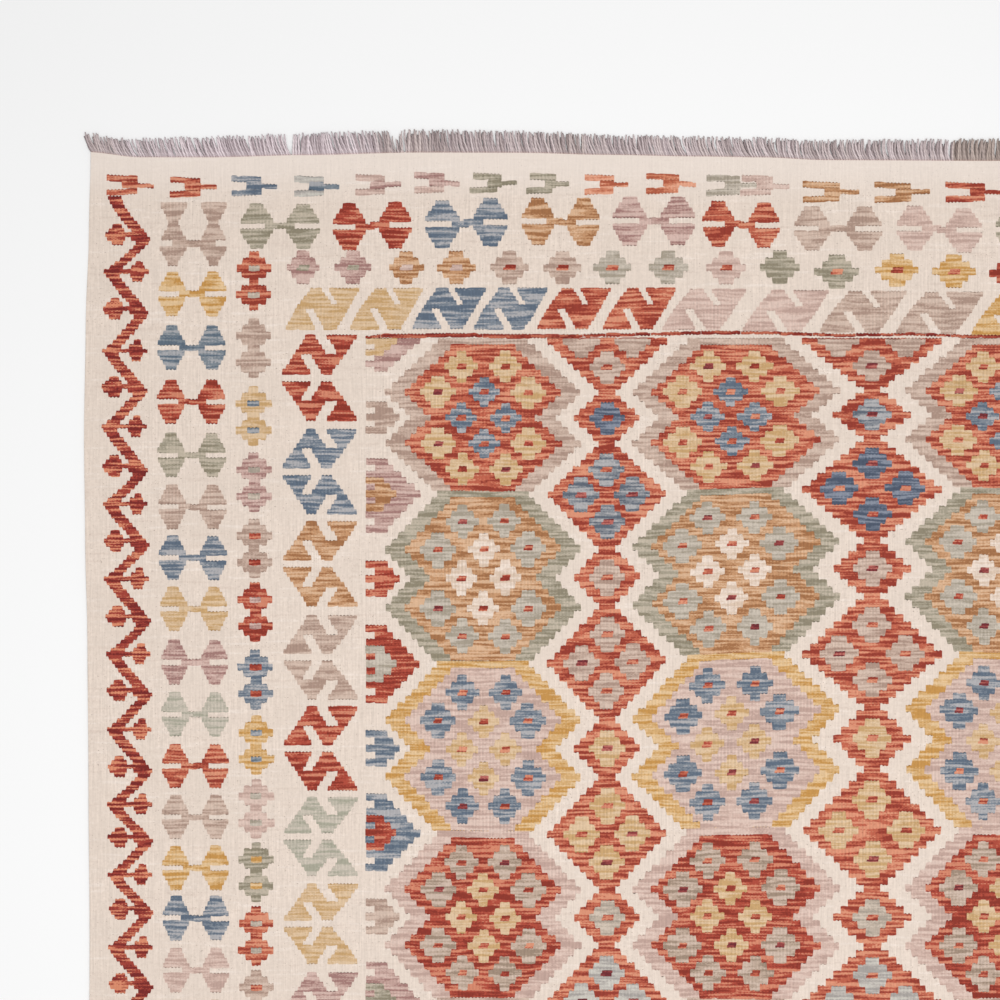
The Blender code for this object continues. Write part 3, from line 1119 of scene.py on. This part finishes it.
# How the strands lie along an end. lean: the tip sideways of the root. bow: how far the
# middle bulges. brown: the share of browner wool.
STRAND_SET = table(
    "along lean reach bow brown",
    (0, -11.5, 24.5, 0.5, 0.45), (25, -10.5, 21.5, 0.5, 0.40), (64, -9.5, 23.0, 0.0, 0.15),
    (153, -10.0, 25.6, 0.0, 0.0), (215, -8.5, 26.0, 0.0, 0.0), (254, -8.5, 26.4, -1.0, 0.0),
    (268, -2.5, 26.6, 0.0, 0.05), (292, -5.0, 27.0, 0.0, 0.05), (320, -9.5, 27.2, 0.5, 0.05),
    (355, -9.0, 27.6, 1.0, 0.15), (380, -5.0, 27.2, 1.0, 0.50), (400, -1.0, 27.6, 0.0, 0.55),
    (450, -2.5, 28.4, 0.0, 0.55), (465, -6.0, 28.0, 0.0, 0.45), (560, -5.0, 26.8, -0.5, 0.45),
    (628, -4.0, 26.0, 0.0, 0.60), (642, -7.5, 25.4, -0.5, 0.45), (700, -6.0, 24.8, -0.5, 0.40),
    (760, -9.0, 24.8, -0.5, 0.40), (860, -9.5, 24.2, -0.8, 0.40), (885, -7.0, 24.2, -1.6, 0.40),
    (960, -5.5, 24.8, -1.8, 0.45), (1040, -4.5, 25.4, -1.8, 0.40),
    (1100, -2.0, 26.2, -1.2, 0.40), (1106, -0.5, 26.6, -1.4, 1.0), (1170, 1.0, 27.4, -1.0, 1.0),
    (1300, 3.0, 27.0, 0.0, 0.9), (1480, -3.0, 26.0, 1.0, 1.0), (1490, -4.0, 26.0, 1.0, 0.1),
    (1700, 4.0, 25.5, 0.5, 0.0), (1900, 7.0, 24.0, 0.0, 0.2), (2000, 9.5, 23.0, 0.0, 0.4),
)
# Where the strands part and leave a gap. push: how far the nearest lean away. spread: how
# soon the others lean less.
PARTINGS = table(
    "along push spread",
    (257.0, 4.0, 9.0), (399.0, 1.6, 4.0), (459.0, 2.5, 6.0), (1310.0, 4.5, 9.0),
    (1780.0, 4.0, 8.0),
)
# A worn stretch, where the strands are thin and short.
WORN_FROM = 385.0
WORN_TO = 402.0

# Ranges from which a strand takes its own stray or share.
REACH_STRAY = (-2.2, 1.2)
GIRTH_SHARE = (0.88, 1.08)
BOW_STRAY = (-1.0, 1.0)
CURL = (-0.8, 0.8)
HEIGHT_SHARE = (0.4, 1.5)
BROWN_STRAY = (-0.12, 0.12)
CROSSING = 2.8            # how far a few strands lean across their neighbours
SWAY = 1.1                # how far strands lean together
SWAY_KEPT = 0.80          # and how much of it each passes on to the next
LOWER_LEAN = (-1.6, 1.6)  # the lower layer's strands lean more and are shorter
LOWER_LOSS = (1.0, 5.0)
LOWER_GAP = 2.0           # and keep this far from a parting
WORN_LEAN = (-8.0, 7.0)
WORN_LOSS = (1.0, 11.0)
WORN_GIRTH = (0.5, 0.8)


def parting_push(along):
    """Strands beside a parting lean away from it."""
    push = 0.0
    for parting in PARTINGS:
        offset = along - parting.along
        push += math.copysign(parting.push * math.exp(-abs(offset) / parting.spread), offset)
    return push


Strand = namedtuple("Strand", "along lean reach girth bow curl height shade brown")
# stations: where a strand is cut into rings, from its root inside the cloth to its tip.
# shades: the range of a layer's tones. The lower layer's are darker: painted shade where it lies
# under the upper strands.
LOWER, UPPER = table(
    "girth height shades sides stations",
    (1.85, 0.0, (0.10, 0.45), 5, (0.0, 0.10, 0.30, 0.55, 0.80, 1.0)),
    (1.50, 1.3, (0.40, 1.0), 6, (0.0, 0.05, 0.10, 0.20, 0.38, 0.58, 0.80, 1.0)),
)


def spin_strand(draw, layer, along, sway):
    """One strand's own lie, from the table's and a few strays."""
    lean = read(STRAND_SET, along, "lean") + parting_push(along) + sway
    reach = read(STRAND_SET, along, "reach") + draw.uniform(*REACH_STRAY)
    girth = layer.girth * draw.uniform(*GIRTH_SHARE)
    cross = draw.uniform(-1.0, 1.0) ** 3 * CROSSING
    if layer is LOWER:
        lean += draw.uniform(*LOWER_LEAN)
        reach -= draw.uniform(*LOWER_LOSS)
    if WORN_FROM < along < WORN_TO:
        lean += draw.uniform(*WORN_LEAN)
        reach -= draw.uniform(*WORN_LOSS)
        girth *= draw.uniform(*WORN_GIRTH)
    bow = read(STRAND_SET, along, "bow") + draw.uniform(*BOW_STRAY)
    curl = draw.uniform(*CURL)
    height = layer.height * draw.uniform(*HEIGHT_SHARE)
    brown = read(STRAND_SET, along, "brown") + draw.uniform(*BROWN_STRAY)
    shade = draw.uniform(*layer.shades)
    return Strand(along, lean + cross, reach, girth, bow, curl, height, shade, brown)


def make_fringe(name, turned, material):
    """All the strands of one end, in two layers that cross: tapering plied cords that
    droop from the cloth's edge to the floor."""
    draw = random.Random(FRINGE_SEED + turned)
    places, faces, shades = [], [], []
    pitch = BODY_WIDTH / STRANDS
    sway = [0.0]
    for _ in range(STRANDS + 1):
        sway.append(sway[-1] * SWAY_KEPT + draw.uniform(-SWAY, SWAY))
    for layer, offset in ((LOWER, 0.25), (UPPER, 0.75)):
        for number in range(STRANDS):
            along = (number + offset) * pitch
            gap = min(abs(along - parting.along) for parting in PARTINGS)
            if layer is UPPER or gap >= LOWER_GAP:
                strand = spin_strand(draw, layer, along, sway[number])
                add_strand(places, faces, shades, strand, layer)
    places = np.array(places)
    if turned:
        places[:, :2] *= -1.0
    places[:, 2] += lie(places[:, 0], places[:, 1])
    mesh = bpy.data.meshes.new(name)
    mesh.from_pydata(places.tolist(), [], faces)
    tint = mesh.attributes.new("strand", "FLOAT_COLOR", "POINT")
    tint.data.foreach_set("color", np.clip(shades, 0.0, 1.0).ravel())
    mesh.polygons.foreach_set("use_smooth", [True] * len(mesh.polygons))
    mesh.materials.append(material)
    return add_object(name, mesh)


ROOT_INSET = 2.4          # how far inside the cloth's edge a strand starts
ROOT_HEIGHT = 1.55
EDGE_HEIGHT = 2.05        # a strand's middle where it leaves the cloth
STRAND_DEPTH = 0.9
ROOT_GIRTH = 1.72
FLOOR_GAP = 0.05
# Shares of a strand's length.
EDGE_AT = 0.08            # where it leaves the cloth
DROOP = 0.4               # over which it comes down from there
PACKED = 0.35             # over which it widens or narrows from its root's girth
# Shares of a strand's sizes.
EARLY_LEAN = 0.6          # how much more than evenly it leans at first
HEIGHT_LOSS = 0.4         # how much less high, wide and deep it is at its tip
GIRTH_LOSS = 0.12
DEPTH_LOSS = 0.15
TIP = 0.66                # the cut tip, against what it would be uncut


def strand_height(t, rest):
    """How high a strand's middle is: level with the cloth, then down to where it rests."""
    if t < EDGE_AT:
        return ROOT_HEIGHT + (EDGE_HEIGHT - ROOT_HEIGHT) * t / EDGE_AT
    return EDGE_HEIGHT + (rest - EDGE_HEIGHT) * eased(min(1.0, (t - EDGE_AT) / DROOP))


def add_strand(places, faces, shades, strand, layer):
    """One strand, from inside the cloth's edge to its cut tip."""
    root_x, root_y = body_point(strand.along / BODY_WIDTH, 1.0, ROOT_INSET)
    start = len(places)
    last = len(layer.stations) - 1
    for step, t in enumerate(layer.stations):
        x = root_x + strand.lean * t * (1.0 + EARLY_LEAN - EARLY_LEAN * t)
        x += strand.bow * math.sin(math.pi * t) + strand.curl * math.sin(2.0 * math.pi * t)
        y = root_y + (strand.reach + ROOT_INSET) * t
        radius_x = strand.girth + (ROOT_GIRTH - strand.girth) * max(0.0, 1.0 - t / PACKED)
        radius_x *= 1.0 - GIRTH_LOSS * t * t
        radius_z = STRAND_DEPTH * (1.0 - DEPTH_LOSS * t)
        rest = radius_z + FLOOR_GAP + strand.height * (1.0 - HEIGHT_LOSS * t)
        z = strand_height(t, rest)
        if step == last:
            radius_x *= TIP
            radius_z *= TIP
        for side in range(layer.sides):
            angle = 2 * math.pi * (side + 0.5) / layer.sides
            across = math.cos(angle)
            places.append(((x + radius_x * across) * MM, y * MM,
                           (z + radius_z * math.sin(angle)) * MM))
            shades.append((strand.shade, t, across * 0.5 + 0.5, strand.brown))
    for step in range(last):
        for side in range(layer.sides):
            after = (side + 1) % layer.sides
            low = start + step * layer.sides
            high = low + layer.sides
            faces.append((low + side, high + side, high + after, low + after))
    root = range(start, start + layer.sides)
    tip = range(start + last * layer.sides, start + (last + 1) * layer.sides)
    faces += [tuple(root), tuple(reversed(tip))]


# ------------ materials
# The noises by which wool is uneven: lumps a metre across and along the rug, how they break
# up, and in which slice they are read where each stretch of yarn has no slice of its own.
NOISES = {noise.name: noise for noise in table(
    "name across along detail roughness slice_at",
    ("sway", 15.0, 24.0, 1.0, 0.5, None),
    ("band", 20.0, 310.0, 1.0, 0.5, None),
    ("broad", 26.0, 120.0, 1.0, 0.5, None),
    ("yarn", 34.0, 7.38, 1.0, 0.5, None),       # along: lumps a weft
    ("grain", 300.0, 340.0, 2.0, 0.6, None),
    ("rib", 455.0, 22.0, 2.0, 0.7, 2.0),
    ("pairing", 7.0, 7.0, 1.0, 0.5, 5.0),
    ("speck", 480.0, 620.0, 1.0, 0.4, 3.7),
    ("spread", 14.0, 14.0, 1.0, 0.5, 8.2),
    ("patch", 11.0, 17.0, 3.0, 0.6, 1.3),
    ("fibre", 900.0, 500.0, 2.0, 0.5, 1.0),
)}
# Stains: between which values of a noise or a place they come in, how strong they get, and
# their colour.
SPECK, PATCH, PALE_END, ROOT = table(
    "edges share colour",
    ((0.77, 0.83), 0.6, (120, 98, 84)),
    ((0.40, 0.62), 0.30, (218, 203, 190)),
    ((1.43, 1.49), 0.6, (234, 222, 213)),
    ((0.13, 0.07), 0.30, (172, 132, 116)),
)


class Nodes:
    """Short names for the shader nodes that the materials share."""

    def __init__(self, name):
        self.material = bpy.data.materials.new(name)
        self.material.use_nodes = True
        self.tree = self.material.node_tree
        self.shader = self.tree.nodes["Principled BSDF"]

    def put(self, socket, value):
        """Link a socket to another node's, or set it to a plain value."""
        if isinstance(value, bpy.types.NodeSocket):
            self.tree.links.new(value, socket)
        else:
            socket.default_value = value

    def add(self, kind, inputs, output=0, **settings):
        """Add a node with its settings and inputs, and take one of its outputs."""
        node = self.tree.nodes.new(f"ShaderNode{kind}")
        for name, value in settings.items():
            setattr(node, name, value)
        for name, value in inputs.items():
            self.put(node.inputs[name], value)
        return node.outputs[output]

    def math(self, operation, *values):
        return self.add("Math", dict(enumerate(values)), operation=operation)

    def times(self, first, second):
        return self.math("MULTIPLY", first, second)

    def plus(self, first, second):
        return self.math("ADD", first, second)

    def scaled(self, value, gain, base):
        """The value times a gain, added to a base."""
        return self.math("MULTIPLY_ADD", value, gain, base)

    def ramp(self, value, low, high):
        """Rise smoothly from 0 to 1 while the value goes from low to high."""
        inputs = {"Value": value, "From Min": low, "From Max": high}
        return self.add("MapRange", inputs, "Result", interpolation_type="SMOOTHSTEP")

    def mix(self, share, first, second, blend="MIX"):
        inputs = {0: share, 6: first, 7: second}
        return self.add("Mix", inputs, 2, data_type="RGBA", blend_type=blend)

    def shaded(self, colour, shade):
        """A colour made lighter or darker by a factor."""
        return self.mix(1.0, colour, self.join(shade, shade, shade), "MULTIPLY")

    def join(self, *values):
        return self.add("CombineXYZ", dict(enumerate(values)))

    def place(self):
        """A point's place across and along the rug, in metres."""
        vector = self.add("TexCoord", {}, "Object")
        return [self.add("SeparateXYZ", {0: vector}, axis) for axis in ("X", "Y")]

    def attribute(self, name, output="Color"):
        return self.add("Attribute", {}, output, attribute_name=name)

    def noise(self, name, x, y, seed=None):
        """One of the table's noises over the plan."""
        kind = NOISES[name]
        slice_at = kind.slice_at if seed is None else seed
        vector = self.join(self.times(x, kind.across), self.times(y, kind.along), slice_at)
        inputs = {"Vector": vector, "Scale": 1.0, "Detail": kind.detail,
                  "Roughness": kind.roughness}
        return self.add("TexNoise", inputs, "Fac")

    def stained(self, colour, stain, value):
        """A colour with one of the stains, as strong as the value says."""
        share = self.times(self.ramp(value, *stain.edges), stain.share)
        return self.mix(share, colour, linear(stain.colour))

    def bump(self, height, distance, strength):
        """The normal of a surface that rises and falls by a height."""
        inputs = {"Height": height, "Distance": distance, "Strength": strength}
        return self.add("Bump", inputs)

    def finish(self, inputs):
        """The material, once the shader has these inputs."""
        for name, value in inputs.items():
            self.put(self.shader.inputs[name], value)
        return self.material


PICK = 1.16               # height at which one weft shows on a warp, in millimetres
SEED_SPREAD = 37.0        # how far apart in a noise the stretches of yarn take their slices
WEFT_SWAY = 0.005         # how far wefts rise and fall, in metres
SPECKS_SPREAD = 0.12      # how much the specks keep to some places
PAIRING_EDGES = (0.35, 0.65)    # the values of its noise between which pairing sets in
CROWN_HIGHLIGHT = 1.03              # painted highlight: how much lighter the top of a weft's dot is drawn
WARP_GROOVE_SHADE = -0.08          # and painted shade: how much darker it is drawn towards the next warp and weft
WEFT_GROOVE_SHADE = -0.05
# How much each noise moves the yarn's tone, and between which tones, from the middle one,
# dark yarn turns to mid and mid to light.
TONE_SHARES = {"band": 0.84, "broad": 0.28, "yarn": 0.10, "grain": 0.20}
TO_MID = (-0.075, -0.03)
TO_LIGHT = (0.02, 0.08)


def make_wool(name, softness, ribs, pairs, undyed):
    """Weft-faced plain weave. Each warp shows every second weft, and the warps beside it
    show the others, so tones of yarn meet in dots. Dye varies along and between wefts.
    softness: how gently tones meet. ribs, pairs: how much warps, and every second warp,
    differ."""
    nodes = Nodes(name)
    x, y = nodes.place()
    seed = nodes.times(nodes.attribute("seed", "Fac"), SEED_SPREAD)
    warp = nodes.math("DIVIDE", x, WARP * MM)
    parity = nodes.math("PINGPONG", nodes.math("FLOOR", warp), 1.0)
    weft_y = nodes.scaled(nodes.noise("sway", x, y, seed), WEFT_SWAY, y)
    shifted = nodes.scaled(parity, 0.5, nodes.math("DIVIDE", weft_y, PICK * MM))
    centre = nodes.math("SUBTRACT", nodes.math("FLOOR", shifted), nodes.times(parity, 0.5))
    centre_y = nodes.times(centre, PICK * MM)

    alongs = {"band": centre_y, "broad": centre_y, "yarn": centre, "grain": y}
    noises = {kind: nodes.noise(kind, x, alongs[kind], seed) for kind in TONE_SHARES}
    tone = 0.5 - 0.5 * sum(TONE_SHARES.values())
    for kind, share in TONE_SHARES.items():
        tone = nodes.scaled(noises[kind], share, tone)
    grain = noises["grain"]
    to_mid = nodes.ramp(tone, *(0.5 + edge * softness for edge in TO_MID))
    to_light = nodes.ramp(tone, *(0.5 + edge * softness for edge in TO_LIGHT))
    colour = nodes.mix(to_mid, nodes.attribute("yarn_dark"), nodes.attribute("yarn_mid"))
    colour = nodes.mix(to_light, colour, nodes.attribute("yarn_light"))

    pairing = nodes.ramp(nodes.noise("pairing", x, y), *PAIRING_EDGES)
    pairing = nodes.times(nodes.math("SUBTRACT", parity, 0.5), nodes.times(pairing, pairs))
    ribbing = nodes.scaled(nodes.noise("rib", x, y), ribs, nodes.plus(pairing, 1.0 - ribs / 2.0))
    # Painted highlight and painted shade: each weft's dot is drawn lighter at its top and darker
    # towards the next warp and weft, as light falls on its rounded shape.
    across = nodes.math("PINGPONG", nodes.math("SUBTRACT", warp, 0.5), 0.5)
    down = nodes.math("PINGPONG", nodes.math("SUBTRACT", shifted, 0.5), 0.5)
    groove_shade = nodes.plus(nodes.times(across, WARP_GROOVE_SHADE), nodes.times(down, WEFT_GROOVE_SHADE))
    shade = nodes.times(nodes.scaled(grain, 0.30, 0.85), ribbing)
    colour = nodes.shaded(colour, nodes.times(shade, nodes.plus(groove_shade, CROWN_HIGHLIGHT)))
    if undyed:
        colour = leave_undyed(nodes, colour, x, y)

    height = nodes.scaled(across, -1.0, nodes.times(down, -0.5))
    return nodes.finish({
        "Base Color": colour,
        "Roughness": nodes.scaled(grain, 0.16, 0.80),
        "Specular IOR Level": 0.2,
        "Sheen Weight": 0.12,
        "Sheen Roughness": 0.6,
        "Normal": nodes.bump(nodes.plus(height, grain), 0.0003, 0.6),
    })


def leave_undyed(nodes, colour, x, y):
    """Undyed wool has small dark specks and greyer patches, and is paler near the ends."""
    specks = nodes.scaled(nodes.noise("spread", x, y), SPECKS_SPREAD,
                          nodes.noise("speck", x, y))
    colour = nodes.stained(colour, SPECK, specks)
    colour = nodes.stained(colour, PATCH, nodes.noise("patch", x, y))
    return nodes.stained(colour, PALE_END, nodes.math("ABSOLUTE", y))


# The fringe's wools, each from its darkest to its lightest tone.
LILAC = ((162, 144, 149), (238, 223, 227))
DUN = ((113, 97, 93), (199, 181, 171))
PLY_ACROSS = 0.62         # how many grooves between plies there are across a strand
PLY_ALONG = 4.6           # and along it
# Painted shade: the grooves between the plies and a strand's flanks are drawn darker, the flanks
# less so near the root.
GROOVE_EDGES = (0.03, 0.26)
FLANK_EDGES = (0.45, 1.0)
FLANK_SHADE = -0.34


def make_strand_wool(name):
    """Two-ply warp wool, lilac grey, with a browner stretch."""
    nodes = Nodes(name)
    parts = nodes.attribute("strand")
    shade, along, across = [nodes.add("SeparateColor", {0: parts}, part) for part in range(3)]
    brown = nodes.attribute("strand", "Alpha")
    lilac, dun = (nodes.mix(shade, linear(dark), linear(light)) for dark, light in (LILAC, DUN))
    colour = nodes.mix(brown, lilac, dun)
    colour = nodes.stained(colour, ROOT, along)
    x, y = nodes.place()
    fibre = nodes.noise("fibre", x, y)
    # Painted shade in the grooves between the plies and on each strand's flanks, times the fibre
    # noise's own uneven tone.
    ply = nodes.scaled(across, PLY_ACROSS, nodes.times(along, PLY_ALONG))
    groove = nodes.ramp(nodes.math("PINGPONG", ply, 0.5), *GROOVE_EDGES)
    flank_shade = nodes.math("ABSOLUTE", nodes.scaled(across, 2.0, -1.0))
    flank_shade = nodes.ramp(flank_shade, *FLANK_EDGES)
    flank_shade = nodes.times(flank_shade, nodes.scaled(nodes.ramp(along, 0.0, 0.5), 0.8, 0.2))
    painted_shade_and_fibre = nodes.scaled(groove, 0.20, 0.82)
    painted_shade_and_fibre = nodes.times(painted_shade_and_fibre, nodes.scaled(flank_shade, FLANK_SHADE, 1.0))
    painted_shade_and_fibre = nodes.times(painted_shade_and_fibre, nodes.scaled(fibre, 0.24, 0.88))
    return nodes.finish({
        "Base Color": nodes.shaded(colour, painted_shade_and_fibre),
        "Roughness": nodes.scaled(fibre, 0.14, 0.82),
        "Specular IOR Level": 0.2,
        "Sheen Weight": 0.15,
        "Normal": nodes.bump(nodes.plus(groove, fibre), 0.0004, 0.6),
    })


# ------------ stage, light, camera
CAMERA_X = -0.4744        # in metres
CAMERA_Y = 1.0607
FRAME_WIDTH = 1.277       # how much of the floor the picture takes in
LENS = 60.0
SENSOR = 36.0
CLIP_END = 100.0
FLOOR_HALF = 30.0
FLOOR_GREY = 0.912
SKY_STRENGTH = 0.66
LAMP_SIZE = 2.0
LAMP_ENERGY = 37.0
LAMP_PLACE = (-0.1, 0.55, 2.6)


def make_stage():
    """A plain pale floor."""
    mesh = bpy.data.meshes.new("floor")
    corners = [(x * FLOOR_HALF, y * FLOOR_HALF, 0.0)
               for x, y in ((-1, -1), (1, -1), (1, 1), (-1, 1))]
    mesh.from_pydata(corners, [], [(0, 1, 2, 3)])
    mesh.materials.append(Nodes("floor_paint").finish({
        "Base Color": (FLOOR_GREY, FLOOR_GREY, FLOOR_GREY, 1.0),
        "Roughness": 0.95,
        "Specular IOR Level": 0.1,
    }))
    add_object("floor", mesh)


def make_light():
    """Even soft light from all round, with a broad lamp overhead."""
    world = bpy.data.worlds.new("studio")
    world.use_nodes = True
    background = world.node_tree.nodes["Background"]
    background.inputs["Color"].default_value = (1.0, 1.0, 1.0, 1.0)
    background.inputs["Strength"].default_value = SKY_STRENGTH
    bpy.context.scene.world = world
    lamp = bpy.data.lights.new("broad_lamp", "AREA")
    lamp.shape = "SQUARE"
    lamp.size = LAMP_SIZE
    lamp.energy = LAMP_ENERGY
    add_object("broad_lamp", lamp).location = LAMP_PLACE


def make_camera():
    """Straight above the head end's left corner, looking down."""
    camera = bpy.data.cameras.new("camera")
    camera.lens = LENS
    camera.sensor_width = SENSOR
    camera.clip_end = CLIP_END
    holder = add_object("camera", camera)
    holder.location = (CAMERA_X, CAMERA_Y, FRAME_WIDTH * LENS / SENSOR)
    bpy.context.scene.camera = holder
    bpy.context.scene.view_settings.view_transform = "Standard"


# ------------ assembly
BORDER_PIECES = ("vine", "dumbbells", "blossoms", "hooks", "glyphs", "guard_line")
FIELD_PIECES = ("rims", "fills", "flowers", "diamonds", "margins")


def weave_all():
    """Every family of motifs: the borders of the head end and the left side, the same
    turned by half a turn, and the field."""
    cloths = {name: Weaving(name) for name in (*BORDER_PIECES, *FIELD_PIECES)}
    borders = [cloths[name] for name in BORDER_PIECES]
    for turned in (False, True):
        for cloth in borders:
            cloth.turned = turned
            cloth.beside_edge = True
        weave_side(cloths)
        for cloth in borders:
            cloth.beside_edge = False
        weave_end(cloths)
        weave_guard_line(cloths["guard_line"])
    for name in FIELD_PIECES:
        cloths[name].drifts = True
    weave_field(cloths)
    return list(cloths.values())


def build():
    """The rug's pieces, and what each stands for in the shared frame."""
    cloths = weave_all()
    ground_wool = make_wool("ground_wool", softness=3.2, ribs=0.44, pairs=0.035, undyed=True)
    motif_wool = make_wool("motif_wool", softness=1.0, ribs=0.36, pairs=0.10, undyed=False)
    ground = make_ground(ground_wool)
    motifs = [cloth.make(motif_wool) for cloth in cloths]
    fringe_wool = make_strand_wool("fringe_wool")
    fringes = [make_fringe("fringe_strands_head", False, fringe_wool),
               make_fringe("fringe_strands_foot", True, fringe_wool)]

    for piece in [ground, *motifs]:
        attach(piece, "root")
    for piece in fringes:
        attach(piece, "root")
    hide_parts("rug_body")
    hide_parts("fringe_head_end")
    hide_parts("fringe_foot_end")


build()
make_stage()
make_light()
make_camera()
